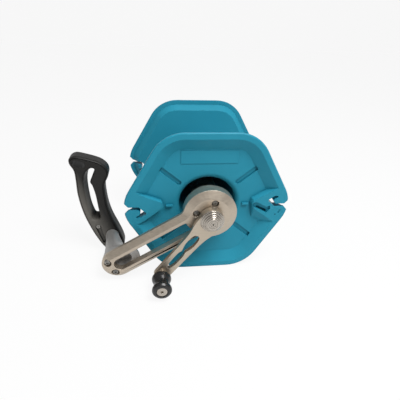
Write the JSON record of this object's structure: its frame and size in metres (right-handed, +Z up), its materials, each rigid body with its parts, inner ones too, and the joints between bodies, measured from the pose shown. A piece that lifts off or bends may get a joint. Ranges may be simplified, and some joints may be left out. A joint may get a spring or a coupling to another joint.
{
  "type": "hand line winch",
  "caption": "Hand-held winch reel: crank-driven spool with two dished hexagonal flanges, carried on a slotted one-sided arm with a looped side grip.",
  "frame": {"origin": "middle of the footprint of the whole part, on the surface it stands on", "axes": "+Y along the spool's axis from the crank side to the back, +X to the right seen from the crank side, away from the grip, +Z up"},
  "size_m": [0.3102, 0.2424, 0.2165],
  "materials": {
    "cast_alloy": "satin, machined",
    "turned_alloy": "turned",
    "screw_steel": "satin",
    "bearing_steel": "ground",
    "bush_bronze": "satin",
    "flange_plastic": "semi-gloss moulded",
    "grip_plastic": "semi-gloss moulded",
    "knob_plastic": "gloss"
  },
  "bodies": {
    "frame": {"frame_arm": "cast_alloy", "bearing_sleeve": "turned_alloy", "sleeve_screws": "screw_steel", "sleeve_circlip": "screw_steel", "front_outer_race": "bearing_steel", "front_balls": "bearing_steel", "rear_outer_race": "bearing_steel", "rear_balls": "bearing_steel", "grip_post": "cast_alloy", "post_screws": "screw_steel", "post_bolt": "screw_steel", "grip": "grip_plastic", "grip_screw": "screw_steel"},
    "spool": {"front_flange": "flange_plastic", "rear_flange": "flange_plastic", "drum": "flange_plastic", "rear_hub": "turned_alloy", "hub_screws": "screw_steel", "axle": "bearing_steel", "axle_washer": "turned_alloy", "axle_nut": "screw_steel", "hub_key": "screw_steel", "front_inner_race": "bearing_steel", "rear_inner_race": "bearing_steel", "race_spacer": "turned_alloy", "crank_arm": "cast_alloy", "crank_key": "screw_steel", "crank_cap": "turned_alloy", "knob_spindle": "turned_alloy", "knob_washer": "turned_alloy"},
    "knob": {"knob": "knob_plastic", "knob_bushes": "bush_bronze"}
  },
  "joints": [
    {"name": "spool_spin", "type": "hinge", "parent": "frame", "child": "spool", "pos_m": [0.03859, -0.0498, 0.10825], "axis": [0, 1, 0], "continuous": true},
    {"name": "knob_spin", "type": "hinge", "parent": "spool", "child": "knob", "pos_m": [-0.0296, -0.1058, 0.02003], "axis": [0, 1, 0], "continuous": true}
  ]
}
